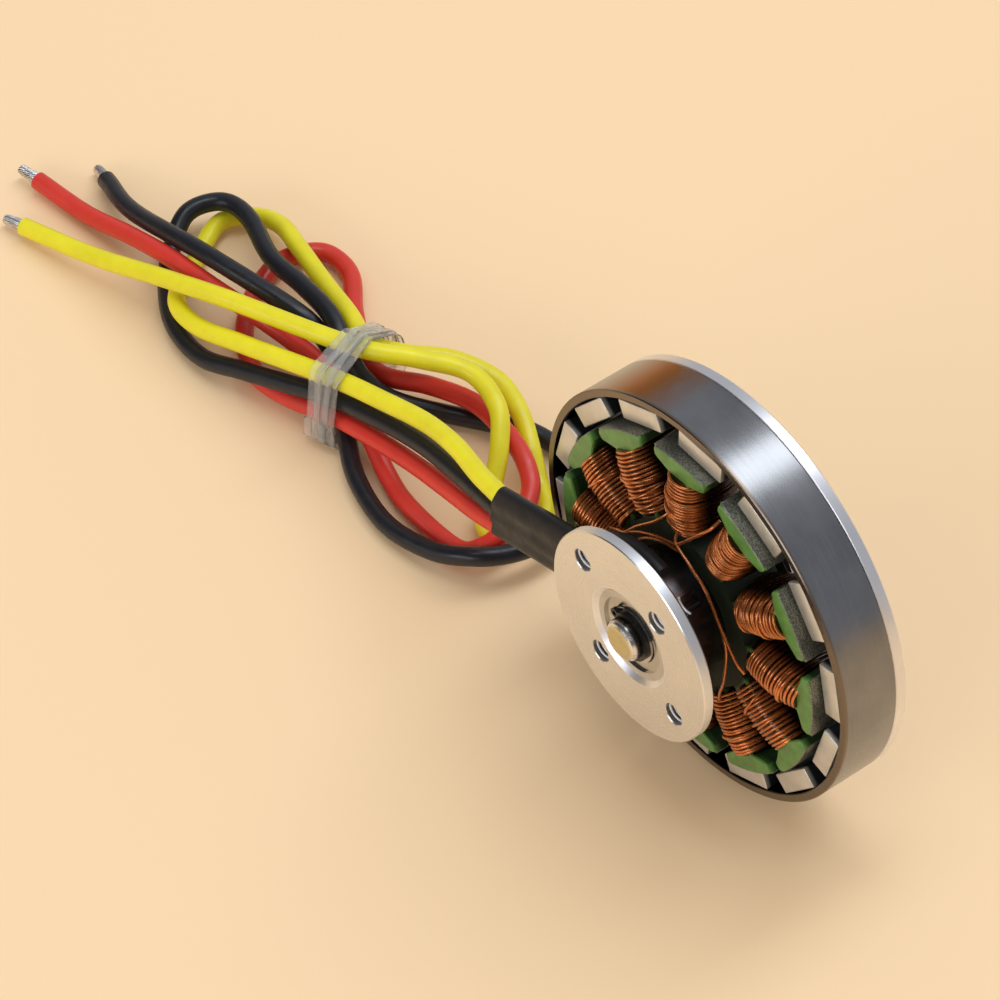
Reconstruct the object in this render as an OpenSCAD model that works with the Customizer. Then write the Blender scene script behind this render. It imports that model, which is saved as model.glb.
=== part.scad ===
// Flat brushless outrunner motor for multirotor aircraft.
// The origin is the centre of the mounting face. The shaft runs along +Y, away from that face.
// The motor stands on the edge of its bell with +Z up, and its three leads lie in a tied hank.

/* [Mounting base] */
// Diameter of the mounting flange
flange_d = 25.5; // [24:0.5:30]
// Thickness of the mounting flange
flange_t = 1.5; // [1.2:0.1:1.6]
// Diameter of the bearing barrel between the flange and the stator
barrel_d = 14.4; // [14:0.1:15]
// Diameter of the stator seat behind the barrel
seat_d = 13.2; // [12.8:0.1:13.6]
// Circle diameter of the wide pair of mounting holes
wide_pcd = 19; // [18.5:0.5:20]
// Circle diameter of the narrow pair of mounting holes
narrow_pcd = 16; // [15.5:0.1:16.5]
// Diameter of the tapped mounting holes
mount_hole_d = 2.6; // [2:0.1:3]
// Depth to which the mounting holes are drilled and tapped
mount_hole_depth = 6; // [3:0.5:6]
// Direction in which the leads leave the motor, in degrees from +X about the shaft
exit_angle = 191; // [185:1:197]

/* [Bearings] */
// Bore of each ball bearing, which is also the shaft diameter
shaft_d = 5; // [4.6:0.1:5.2]
// Outer diameter of each ball bearing
bearing_d = 11; // [10.8:0.1:11.2]
// Width of each ball bearing
bearing_w = 5; // [4:0.1:5.2]
// Depth of the front bearing below the mounting face
bearing_recess = 0.5; // [0.4:0.05:0.8]
// Diameter of each ball
ball_d = 1.6; // [1.4:0.05:1.7]
// Number of balls in each bearing
ball_count = 9; // [7:1:10]
// Length of the spacer between the inner rings
spacer_len = 5.3; // [4.8:0.1:6]

/* [Shaft end] */
// How far the shaft stands out in front of the mounting face
shaft_front = 1.3; // [0.9:0.1:1.6]
// Depth of the groove that holds the snap ring
snap_groove = 0.25; // [0.2:0.05:0.4]
// Width of the snap ring across its face
snap_ring_w = 0.7; // [0.5:0.05:0.9]
// Thickness of the snap ring
snap_ring_t = 0.45; // [0.3:0.05:0.5]
// Direction in which the snap ring opens, in degrees from +X about the shaft
snap_angle = 172; // [0:1:359]

/* [Stator] */
// Distance from the mounting face to the insulated front of the stator
stator_front = 7.7; // [7.5:0.1:8.2]
// Height of the stack of laminations
core_h = 6; // [5.4:0.1:6.1]
// Thickness of the insulation on each end of the stack
insulation_t = 0.3; // [0.2:0.05:0.4]
// Number of teeth
tooth_count = 12; // [12]
// Angle of the first tooth
tooth_angle = 5.5; // [0:0.5:29.5]
// Width of the stem of each tooth
tooth_w = 2.8; // [2.4:0.1:3]
// Outer diameter of the hub that joins the teeth
hub_d = 20.4; // [19.6:0.2:21.6]
// Gap between neighbouring tooth tips
slot_gap = 2.4; // [1.8:0.1:2.8]
// Radial gap between the stator and the magnets
air_gap = 0.4; // [0.3:0.05:0.6]

/* [Windings] */
// Gap between the hub and the inner end of each coil
coil_hub_gap = 0.4; // [0.3:0.1:0.8]
// Gap between the outer end of each coil and the tooth tip
coil_tip_gap = 0.3; // [0.3:0.1:1]
// Gap between neighbouring coils at their inner ends
coil_space_in = 0.5; // [0.4:0.1:1.2]
// How much wider each coil is at its outer end than at its inner end
coil_flare = 0.1; // [0:0.1:1.5]
// How far each coil stands out from the insulation at each end
coil_overhang = 1.2; // [1:0.1:1.5]
// Diameter of the enamelled link wires
link_wire_d = 0.7; // [0.5:0.05:0.8]

/* [Bell] */
// Outer diameter of the bell
bell_d = 50; // [50:0.25:52]
// Wall thickness of the steel flux ring
ring_wall = 1; // [0.8:0.1:1.2]
// Distance from the mounting face to the open edge of the bell
rim_y = 8.9; // [8.8:0.1:9.4]
// Length of the steel flux ring
ring_h = 7; // [6.9:0.1:7.6]
// Thickness of the edge of the end cap
cap_edge_t = 1.5; // [1.3:0.1:2]
// Thickness of the spokes of the end cap
spoke_t = 1.2; // [1:0.1:1.3]
// Width of each spoke
spoke_w = 3.6; // [3:0.1:4.5]
// Number of spokes
spoke_count = 6; // [5:1:8]
// Diameter of the boss in the middle of the end cap
boss_d = 17; // [16:0.5:18]
// Distance from the mounting face to the back of the boss
boss_back = 20.5; // [20.2:0.1:21.5]
// Circle diameter of the four propeller holes
prop_pcd = 12; // [11.8:0.1:12.4]
// Diameter of the propeller holes
prop_hole_d = 2.5; // [2:0.1:3]
// Diameter of the spigot that centres the propeller
prop_spigot_d = 6; // [5.6:0.1:6.6]
// Height of the spigot that centres the propeller
prop_spigot_h = 2; // [1.5:0.1:2.5]

/* [Magnets] */
// Number of magnets
magnet_count = 14; // [14]
// Width of each magnet
magnet_w = 6.9; // [6:0.1:7]
// Thickness of each magnet
magnet_t = 2.4; // [2.2:0.1:2.6]
// Length of each magnet along the shaft
magnet_len = 6.3; // [5.5:0.1:6.3]
// Angle of the first magnet with the bell at rest
magnet_angle = 13.3; // [0:0.1:25]

/* [Leads] */
// Outer diameter of each silicone lead
lead_d = 2.3; // [2:0.05:2.3]
// Diameter of the bare tinned strands at the end of each lead
strand_d = 1.7; // [1.4:0.05:1.8]
// Length of the bare tinned strands
strand_len = 3; // [2:0.5:6]
// Diameter of the heat-shrink sleeves over the solder joints
sleeve_d = 2.2; // [1.8:0.05:2.2]
// Thickness of the film of the clear band round the hank
band_t = 0.3; // [0.2:0.05:0.3]
// Width of the clear band along the hank
band_w = 4; // [3:0.5:5]

/* [Hidden] */
$fn = 96;
EXTRA = 1;
magnet_names = [for (i = [1:magnet_count]) str("magnet_", i < 10 ? "0" : "", i)];

// Base and bearings
edge = 0.3;
fine_edge = 0.12;
bore_edge = 0.55;
shoulder_r = bearing_d / 2 - 0.7;
front_bearing_y = bearing_recess;
rear_bearing_y = front_bearing_y + bearing_w + spacer_len;
barrel_end = rear_bearing_y + bearing_w;
ball_pitch_r = (shaft_d + bearing_d) / 4;
groove_gap = 0.02;
ring_lip = 0.15;
inner_ring_r = ball_pitch_r - ball_d / 2 + ring_lip;
outer_ring_r = ball_pitch_r + ball_d / 2 - ring_lip;
shield_t = 0.25;
shield_inset = 0.3;
cage_t = 0.4;
cage_gap = 0.04;
cage_w = ball_d + 0.5;

// Stator
core_front = stator_front + insulation_t;
core_back = core_front + core_h;
stator_back = core_back + insulation_t;
ring_r = bell_d / 2 - ring_wall;
magnet_out = sqrt(pow(ring_r, 2) - pow(magnet_w / 2, 2)) - 0.02;
stator_r = magnet_out - magnet_t - air_gap;
tooth_pitch = 360 / tooth_count;
tip_half = tooth_pitch / 2 - asin(slot_gap / 2 / stator_r);
tip_t_mid = 2.2;
tip_t_end = 1.1;
slot_lining = 0.3;
coil_in = hub_d / 2 + coil_hub_gap;
coil_out = stator_r - tip_t_mid - coil_tip_gap;
coil_w_in = 2 * coil_in * tan(tooth_pitch / 2) - coil_space_in;
coil_w_out = coil_w_in + coil_flare;
coil_bulge = 0.3;
coil_corner = 1.3;
coil_gap = 0.02;
phase_teeth = [[0, 1, 6, 7], [2, 3, 8, 9], [4, 5, 10, 11]];
coil_colours = ["#b5602c", "#ad5a28", "#b96630"];
link_gap = 0.05;
link_rows = [for (i = [0:2]) barrel_d / 2 + link_wire_d * (0.6 + 1.1 * i)];

// Bell
ring_back = rim_y + ring_h;
cap_back = ring_back + cap_edge_t;
spoke_front = cap_back - spoke_t;
spigot_h = 0.5;
seam = 0.12;
spigot_w = 1.4;
shim_t = 0.3;
boss_front = barrel_end + shim_t;
shaft_end = boss_back + prop_spigot_h;
snap_y = front_bearing_y - snap_ring_t;
snap_in = shaft_d / 2 - snap_groove;
snap_out = snap_in + snap_ring_w;
snap_open = 27;
snap_lug_r = 0.6;
shaft_round = 0.9;
flat_depth = 0.3;
grub_d = prop_hole_d;
grub_len = 3;
grub_y = (cap_back + boss_back) / 2;
grub_angles = [45, 225];
prop_angles = [0, 90, 180, 270];
prop_hole_depth = 4;

// Leads: the sleeve over the solder joints, the flat exit sleeve and the hank
sleeve_clear = 0.3;
lead_ring_r = narrow_pcd / 2 + mount_hole_d / 2 + sleeve_d / 2 - sleeve_clear;
low_row_y = flange_t + sleeve_clear + sleeve_d / 2;
high_row_y = low_row_y + sleeve_d + 0.15;
lead_sleeve_arcs = [[183, 80, low_row_y], [199, 318, low_row_y], [199, 250, high_row_y]];
exit_in = lead_ring_r + sleeve_d / 2 + sleeve_clear;
exit_grip = 0.3;
exit_pitch = 2.5;
exit_wall = 0.45;
exit_mid = [-28, 5, -9];
exit_start_y = stator_front - coil_overhang - lead_d / 2 - exit_wall - sleeve_clear;
exit_start = [-exit_in, exit_start_y, -2.5];
cord_sides = 8;
cord_steps = 2;
band_centre = [-61.5, 7.5, 0];
band_angle = 21.7;
band_slack = 0.15;
band_corners = [[-2.4, -15], [-3.3, -20.8], [-3.5, -23.35], [1.2, -23.37], [8.9, -22.75], [7.7, -18],
    [3.3, -14.75]];

// Routes of the three leads, from the mouth of the exit sleeve to the bare end
yellow_route = [
    [-28, 5, -6.5], [-33, 5.6, -7.5], [-39, 6.9, -9], [-45.5, 7.6, -11.2], [-53, 7, -13.6],
    [-61, 5.6, -15.6], [-74, 2, -18.6], [-80.5, 0.4, -20.2], [-85.5, 0.8, -21], [-89, 3.6, -21.8],
    [-91.6, 7, -23.4], [-94.2, 10.6, -23.7], [-96, 14.6, -23.7], [-94, 18.2, -23.6], [-89.8, 19, -22.2],
    [-84.5, 17.8, -20.9], [-77.5, 16.4, -20.2], [-70.5, 15, -19], [-64.5, 13.4, -17.8],
    [-60.5, 16, -18], [-57, 20.2, -18.8], [-52, 22.8, -19.8], [-47, 22.2, -20.6], [-42.5, 20.4, -21.8],
    [-39, 18.8, -23.6], [-35.6, 17.2, -23.7], [-33.4, 14.4, -23.7], [-33.6, 11.2, -23.7], [-36, 9.6, -23.7],
    [-38.6, 10.4, -22.8], [-40.2, 13, -20.8], [-42.8, 16, -18.2], [-46.4, 18.4, -16.4],
    [-52, 18.8, -15.8], [-57, 15, -15.2], [-63, 10, -14.8], [-79, 3.8, -16.4], [-88.5, 0.8, -18.6],
    [-99, -2, -21.8], [-110, -5, -23.7]
];
black_route = [
    [-28, 5, -9], [-39, 6.4, -12.4], [-46, 7, -14.6], [-53.5, 6.6, -16.8], [-61, 5.2, -18.6],
    [-67, 3.2, -20.2], [-73, 1.2, -21.8], [-79, -0.6, -23.4], [-85.5, 0, -23.7], [-91.5, 3.2, -23.7],
    [-96, 7.2, -23.4], [-98.2, 11.2, -21.8], [-96.6, 15.2, -21.2], [-92, 15.8, -20.6],
    [-84, 13.4, -19.4], [-77, 13, -18.2], [-70.5, 12.4, -17.6], [-65.8, 11, -18.6], [-62, 11.2, -21],
    [-58.5, 13.6, -23.2], [-50.5, 19.8, -23.7], [-46.6, 22.8, -23.7], [-42, 24, -23.7],
    [-37.6, 22.8, -23], [-34, 20, -21.6], [-31, 16.4, -21.2], [-30.2, 12.2, -21.2], [-31.2, 8, -21.2],
    [-33.4, 4.6, -21.2], [-38, 2.4, -22.8], [-45, 1.2, -23.7], [-52.5, 2.6, -23.7], [-58.5, 5.6, -23.4],
    [-63, 8.6, -23.4], [-66.8, 10.6, -22.4], [-70, 11, -20.4], [-74, 9.8, -18], [-88, 6.4, -17.4],
    [-102, 5.8, -21.4], [-110.5, 7.5, -23.7]
];
red_route = [
    [-28, 5, -11.5], [-33, 5.2, -13.4], [-39, 5.8, -15.6], [-46, 6.2, -17.8], [-53.5, 5.8, -19.6],
    [-61, 5, -21.4], [-66.5, 3.6, -22.8], [-72.5, 3, -23.7], [-78, 5, -23.7], [-82, 8.4, -23.7],
    [-84.8, 12.4, -23.7], [-86.2, 16.8, -23.7], [-84.2, 21.2, -23.7], [-79.4, 21.6, -23.7],
    [-74, 18.2, -23.4], [-68.5, 15.4, -23], [-63, 14, -22.4], [-57.5, 17, -21.6], [-51.5, 18.9, -20.6],
    [-45.5, 18.6, -19.7], [-40.8, 17.8, -19.8], [-37.2, 16.2, -20.6], [-35, 13.4, -21.3],
    [-34, 10.2, -21], [-34.2, 7.2, -21.9], [-37, 5.4, -23.7], [-45, 4.8, -23.7], [-51, 5.8, -23.6],
    [-60.5, 8.2, -21.2], [-67, 8.2, -20.2], [-75, 7.2, -20], [-84, 5, -19.2], [-91.5, 3.8, -19.4],
    [-99, 3.2, -21.4], [-107, 2.2, -23.6], [-115.5, 0.8, -23.7]
];

// Turns a child so that its +Z runs along the shaft, and moves it to a distance from the mounting face
module on_shaft(y) {
    translate([0, y, 0]) rotate([-90, 0, 0]) children();
}

// Turns a child that lies along +X to an angle about the shaft
module at_angle(angle) {
    rotate([0, -angle, 0]) children();
}

// A tube about the shaft, from its front end
module tube(y, length, r_out, r_in) {
    on_shaft(y) difference() {
        cylinder(h = length, r = r_out);
        translate([0, 0, -EXTRA]) cylinder(h = length + 2 * EXTRA, r = r_in);
    }
}

// Mounting base: flange, barrel and two bearing seats in one turned piece
module base_profile() {
    polygon([
        [bearing_d / 2 + bore_edge, 0], [flange_d / 2 - fine_edge, 0], [flange_d / 2, fine_edge],
        [flange_d / 2, flange_t - edge], [flange_d / 2 - edge, flange_t], [barrel_d / 2 + edge, flange_t],
        [barrel_d / 2, flange_t + edge], [barrel_d / 2, stator_front], [seat_d / 2, stator_front],
        [seat_d / 2, barrel_end - edge], [seat_d / 2 - edge, barrel_end], [bearing_d / 2, barrel_end],
        [bearing_d / 2, rear_bearing_y], [shoulder_r, rear_bearing_y],
        [shoulder_r, front_bearing_y + bearing_w], [bearing_d / 2, front_bearing_y + bearing_w],
        [bearing_d / 2, bore_edge]
    ]);
}

module mounting_hole(angle, pcd) {
    at_angle(angle) translate([pcd / 2, 0, 0]) {
        on_shaft(-EXTRA) cylinder(h = EXTRA + mount_hole_depth, d = mount_hole_d);
        on_shaft(-fine_edge)
            cylinder(h = 2 * fine_edge, r1 = mount_hole_d / 2 + 2 * fine_edge, r2 = mount_hole_d / 2);
    }
}

module mounting_base() {
    color("#cfd2d6") difference() {
        on_shaft(0) rotate_extrude() base_profile();
        for (side = [0, 180]) {
            mounting_hole(exit_angle - 45 + side, wide_pcd);
            mounting_hole(exit_angle + 45 + side, narrow_pcd);
        }
    }
}

// Outline of one tooth along +X; grow widens the stem and thins nothing else
module tooth_outline(grow) {
    stem = tooth_w / 2 + grow;
    neck = stator_r - tip_t_mid - grow;
    shoulder = stator_r - tip_t_end - grow;
    reach = stator_r + EXTRA;
    intersection() {
        circle(r = stator_r);
        polygon([
            [seat_d / 2 + EXTRA, -stem], [neck, -stem],
            [shoulder * cos(tip_half), -shoulder * sin(tip_half)],
            [reach * cos(tip_half), -reach * sin(tip_half)],
            [reach * cos(tip_half), reach * sin(tip_half)],
            [shoulder * cos(tip_half), shoulder * sin(tip_half)],
            [neck, stem], [seat_d / 2 + EXTRA, stem]
        ]);
    }
}

module stator_outline(grow) {
    difference() {
        union() {
            circle(d = hub_d);
            for (i = [0:tooth_count - 1]) rotate(-tooth_angle - i * tooth_pitch) tooth_outline(grow);
        }
        circle(d = seat_d);
    }
}

module stator_core() {
    color("#6f7376") on_shaft(core_front) linear_extrude(core_h) stator_outline(0);
}

module front_insulation() {
    color("#2f6b3c") on_shaft(stator_front) linear_extrude(insulation_t) stator_outline(slot_lining / 2);
}

module rear_insulation() {
    color("#2f6b3c") on_shaft(core_back) linear_extrude(insulation_t) stator_outline(slot_lining / 2);
}

// One thin rounded section of a coil, square to the tooth
module coil_section(r, width, overhang) {
    corner = coil_corner;
    depth = stator_back - stator_front + 2 * overhang;
    translate([r, (stator_front + stator_back) / 2, 0]) rotate([0, 90, 0])
        linear_extrude(0.01, center = true) offset(r = corner, $fn = 24)
            square([width - 2 * corner, depth - 2 * corner], center = true);
}

// One coil wound round a tooth that points along +X
module coil() {
    coil_mid = (coil_in + coil_out) / 2;
    mid_w = (coil_w_in + coil_w_out) / 2 + coil_bulge;
    difference() {
        hull() {
            coil_section(coil_in, coil_w_in, coil_overhang - 0.4);
            coil_section(coil_mid, mid_w, coil_overhang);
            coil_section(coil_out, coil_w_out, coil_overhang - 0.3);
        }
        translate([coil_in - EXTRA, stator_front - coil_gap, -tooth_w / 2 - slot_lining])
            cube([coil_out - coil_in + 2 * EXTRA, stator_back - stator_front + 2 * coil_gap,
                  tooth_w + 2 * slot_lining]);
    }
}

module winding(phase) {
    color(coil_colours[phase]) for (i = phase_teeth[phase])
        at_angle(tooth_angle + i * tooth_pitch) coil();
}

// A round wire bent to an arc about the shaft
module wire_arc(r, y, d, from, to) {
    at_angle(min(from, to)) on_shaft(y) mirror([0, 1, 0])
        rotate_extrude(angle = abs(to - from)) translate([r, 0]) circle(d = d, $fn = 24);
}

// Link wires that join the coils of each phase across the front of the hub
module link_wires() {
    link_y = stator_front - link_gap - link_wire_d / 2;
    color("#a8531f") for (phase = [0:2]) {
        first = tooth_angle + phase_teeth[phase][1] * tooth_pitch;
        last = tooth_angle + phase_teeth[phase][2] * tooth_pitch;
        wire_arc(link_rows[phase], link_y, link_wire_d, first, last);
    }
}

module lead_sleeve(i) {
    arc = lead_sleeve_arcs[i];
    color("#17181b") wire_arc(lead_ring_r, arc[2], sleeve_d, arc[0], arc[1]);
}

// Flat heat-shrink sleeve that holds the three leads side by side
module exit_section() {
    sphere_r = lead_d / 2 + exit_wall;
    for (side = [-1, 1]) translate([0, 0, side * exit_pitch]) rotate([0, 90, 0])
        cylinder(h = 0.01, r = sphere_r, $fn = 32);
}

module exit_sleeve() {
    color("#1b1c20") hull() {
        translate(exit_start) exit_section();
        translate(exit_mid - [exit_grip, 0, 0]) exit_section();
    }
}

// A point on the smooth curve through a list of points, at a share t of span i
function curve_point(p, i, t) =
    let (n = len(p),
         a = i > 0 ? p[i - 1] : 2 * p[0] - p[1],
         b = p[i],
         c = p[i + 1],
         d = i + 2 < n ? p[i + 2] : 2 * p[n - 1] - p[n - 2])
    (2 * b + (c - a) * t + (2 * a - 5 * b + 4 * c - d) * t * t + (3 * b - a - 3 * c + d) * t * t * t) / 2;

function curve_line(p) = concat(
    [for (i = [0:len(p) - 2]) for (k = [0:cord_steps - 1]) curve_point(p, i, k / cord_steps)],
    [p[len(p) - 1]]);

function unit(v) = v / norm(v);

function curve_direction(line, i) =
    unit(line[min(i + 1, len(line) - 1)] - line[max(i - 1, 0)]);

// A ring of points round the line, square to its direction
function tube_ring(line, i, r) =
    let (ahead = curve_direction(line, i),
         side = unit(cross(ahead, [0, 0, 1])),
         up = cross(side, ahead))
    [for (k = [0:cord_sides - 1])
        let (a = 360 * k / cord_sides) line[i] + r * (cos(a) * side + sin(a) * up)];

module cord(route, d) {
    line = curve_line(route);
    last = len(line) - 1;
    points = [for (i = [0:last]) each tube_ring(line, i, d / 2)];
    sides = [for (i = [0:last - 1]) for (k = [0:cord_sides - 1])
        let (a = i * cord_sides + k, b = i * cord_sides + (k + 1) % cord_sides)
        each [[a, b, b + cord_sides], [a, b + cord_sides, a + cord_sides]]];
    first_cap = [for (k = [cord_sides - 1:-1:0]) k];
    last_cap = [for (k = [0:cord_sides - 1]) last * cord_sides + k];
    polyhedron(points = points, faces = concat(sides, [first_cap], [last_cap]));
}

// Bare tinned strands that carry on from the end of a lead
module strand_end(route) {
    line = curve_line(route);
    last = len(line) - 1;
    ahead = curve_direction(line, last);
    translate(line[last]) rotate([0, acos(ahead[2]), atan2(ahead[1], ahead[0])])
        cylinder(h = strand_len, d = strand_d, $fn = 32);
}

module strand_ends() {
    color("#c9ccd0") for (route = [yellow_route, black_route, red_route]) strand_end(route);
}

// Clear band drawn round the nine runs of lead
module band_outline() {
    hull() for (corner = band_corners) translate(corner) circle(r = lead_d / 2 + band_slack, $fn = 24);
}

module clear_band() {
    color("#e6e2da", 0.5) translate(band_centre) rotate([0, 0, band_angle]) rotate([90, 0, 90])
        linear_extrude(band_w, center = true) difference() {
            offset(r = band_t, $fn = 24) band_outline();
            band_outline();
        }
}

// Ball bearing, from its front face
module bearing_ring(y, r_out, r_in) {
    color("#b9bdc2") difference() {
        tube(y, bearing_w, r_out, r_in);
        on_shaft(y + bearing_w / 2) rotate_extrude() translate([ball_pitch_r, 0])
            circle(r = ball_d / 2 + groove_gap, $fn = 48);
    }
}

module outer_ring(y) {
    bearing_ring(y, bearing_d / 2, outer_ring_r);
}

module inner_ring(y) {
    bearing_ring(y, inner_ring_r, shaft_d / 2);
}

module at_balls(y) {
    for (i = [0:ball_count - 1]) at_angle(i * 360 / ball_count)
        translate([ball_pitch_r, y + bearing_w / 2, 0]) children();
}

module balls(y) {
    color("#d5d8dc") at_balls(y) sphere(d = ball_d, $fn = 32);
}

module cage(y) {
    color("#a88d4a") difference() {
        tube(y + (bearing_w - cage_w) / 2, cage_w, ball_pitch_r + cage_t / 2, ball_pitch_r - cage_t / 2);
        for (i = [0:ball_count - 1]) at_angle(i * 360 / ball_count)
            translate([ball_pitch_r - cage_t, y + bearing_w / 2, 0]) rotate([0, 90, 0])
                cylinder(h = 2 * cage_t, d = ball_d + 2 * cage_gap);
    }
}

module shields(y) {
    color("#aeb2b6") for (face = [y + shield_inset, y + bearing_w - shield_inset - shield_t])
        tube(face, shield_t, outer_ring_r, inner_ring_r + 0.1);
}

module spacer_sleeve() {
    color("#9aa0a6") tube(front_bearing_y + bearing_w, spacer_len, inner_ring_r, shaft_d / 2);
}

module shim_washer() {
    color("#b08d3c") tube(barrel_end, shim_t, inner_ring_r, shaft_d / 2);
}

// Shaft with a groove for the snap ring and two flats for the grub screws
module shaft() {
    color("#dfe2e6") difference() {
        on_shaft(0) rotate_extrude() polygon([
            [0, -shaft_front],
            for (turn = [0:22.5:90])
                [shaft_d / 2 - shaft_round * (1 - sin(turn)), shaft_round * (1 - cos(turn)) - shaft_front],
            [shaft_d / 2, snap_y], [snap_in, snap_y], [snap_in, front_bearing_y],
            [shaft_d / 2, front_bearing_y], [shaft_d / 2, shaft_end - edge],
            [shaft_d / 2 - edge, shaft_end], [0, shaft_end]
        ]);
        for (angle = grub_angles) at_angle(angle)
            translate([shaft_d / 2 - flat_depth, grub_y - grub_d / 2 - edge, -shaft_d / 2])
                cube([EXTRA, grub_d + 2 * edge, shaft_d]);
    }
}

// Snap ring that holds the shaft against the front bearing, open at one side, with two eyes
module snap_ring() {
    far = 2 * snap_out;
    color("#4a4c50") at_angle(snap_angle) on_shaft(snap_y) linear_extrude(snap_ring_t) difference() {
        union() {
            difference() {
                circle(r = snap_out);
                polygon([[0, 0], [far, -far * tan(snap_open)], [far, far * tan(snap_open)]]);
            }
            for (side = [-1, 1]) rotate(side * snap_open) translate([snap_out, 0]) circle(r = snap_lug_r);
        }
        circle(r = snap_in);
        for (side = [-1, 1]) rotate(side * snap_open) translate([snap_out, 0]) circle(r = snap_lug_r / 2);
    }
}

module flux_ring() {
    color("#5b5f66") on_shaft(rim_y) rotate_extrude() polygon([
        [ring_r, fine_edge], [ring_r + fine_edge, 0], [bell_d / 2 - fine_edge, 0],
        [bell_d / 2, fine_edge], [bell_d / 2, ring_h - seam], [bell_d / 2 - seam, ring_h], [ring_r, ring_h]
    ]);
}

// Block magnet number i, glued inside the flux ring
module magnet(i) {
    chamfer = 0.25;
    wide = magnet_w / 2;
    color(i % 2 == 0 ? "#cfcabd" : "#d6d2c6") at_angle(magnet_angle + (i - 1) * 360 / magnet_count)
        translate([magnet_out - magnet_t, 0, 0]) on_shaft(rim_y + 0.1) linear_extrude(magnet_len)
            polygon([
                [chamfer, -wide], [magnet_t, -wide], [magnet_t, wide], [chamfer, wide],
                [0, wide - chamfer], [0, chamfer - wide]
            ]);
}

// End cap: rim that plugs into the flux ring, spokes, boss and propeller spigot
module cap_windows() {
    corner = 1.2;
    window_in = boss_d / 2 + 1;
    window_out = ring_r - spigot_w - 1;
    offset(r = corner, $fn = 24) offset(delta = -corner) difference() {
        circle(r = window_out);
        circle(r = window_in);
        for (i = [0:spoke_count - 1]) rotate(i * 360 / spoke_count)
            translate([0, -spoke_w / 2]) square([window_out + EXTRA, spoke_w]);
    }
}

module end_cap() {
    spigot_r = ring_r - 0.02;
    color("#d9dce0") difference() {
        union() {
            on_shaft(0) rotate_extrude() polygon([
                [shaft_d / 2, boss_front], [boss_d / 2, boss_front], [boss_d / 2, spoke_front],
                [spigot_r - spigot_w, spoke_front], [spigot_r - spigot_w, ring_back - spigot_h],
                [spigot_r, ring_back - spigot_h], [spigot_r, ring_back], [bell_d / 2 - seam, ring_back],
                [bell_d / 2, ring_back + seam],
                [bell_d / 2, cap_back - edge], [bell_d / 2 - edge, cap_back],
                [boss_d / 2, cap_back], [boss_d / 2, boss_back - edge], [boss_d / 2 - edge, boss_back],
                [prop_spigot_d / 2, boss_back], [prop_spigot_d / 2, shaft_end - edge],
                [prop_spigot_d / 2 - edge, shaft_end], [shaft_d / 2, shaft_end]
            ]);
        }
        on_shaft(spoke_front - EXTRA) linear_extrude(spoke_t + 2 * EXTRA) cap_windows();
        for (angle = prop_angles) at_angle(angle) translate([prop_pcd / 2, 0, 0])
            on_shaft(boss_back - prop_hole_depth) cylinder(h = prop_hole_depth + EXTRA, d = prop_hole_d);
        for (angle = grub_angles) at_angle(angle) translate([shaft_d / 4, grub_y, 0]) rotate([0, 90, 0])
            cylinder(h = boss_d / 2, d = grub_d);
    }
}

// Grub screws with hexagon sockets, seated on the flats of the shaft
module grub_screws() {
    socket_d = 1.3;
    color("#2b2d31") for (angle = grub_angles) at_angle(angle)
        translate([shaft_d / 2 - flat_depth, grub_y, 0]) rotate([0, 90, 0]) difference() {
            cylinder(h = grub_len, d = grub_d);
            translate([0, 0, grub_len / 2]) cylinder(h = grub_len, d = socket_d, $fn = 6);
        }
}

mounting_base();
stator_core();
front_insulation();
rear_insulation();
winding(0);  // winding_a
winding(1);  // winding_b
winding(2);  // winding_c
link_wires();
lead_sleeve(0);  // lead_sleeve_a
lead_sleeve(1);  // lead_sleeve_b
lead_sleeve(2);  // lead_sleeve_c
exit_sleeve();
color("#e8d82a") cord(yellow_route, lead_d);  // wire_yellow
color("#1c1d22") cord(black_route, lead_d);  // wire_black
color("#c23328") cord(red_route, lead_d);  // wire_red
strand_ends();
clear_band();
outer_ring(front_bearing_y);  // front_outer_ring
inner_ring(front_bearing_y);  // front_inner_ring
balls(front_bearing_y);  // front_balls
cage(front_bearing_y);  // front_cage
shields(front_bearing_y);  // front_shields
outer_ring(rear_bearing_y);  // rear_outer_ring
inner_ring(rear_bearing_y);  // rear_inner_ring
balls(rear_bearing_y);  // rear_balls
cage(rear_bearing_y);  // rear_cage
shields(rear_bearing_y);  // rear_shields
spacer_sleeve();
shim_washer();
shaft();
snap_ring();
flux_ring();
end_cap();
grub_screws();
for (i = [1:magnet_count]) magnet(i);
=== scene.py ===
"""Looks of a flat brushless outrunner motor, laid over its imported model."""

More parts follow.
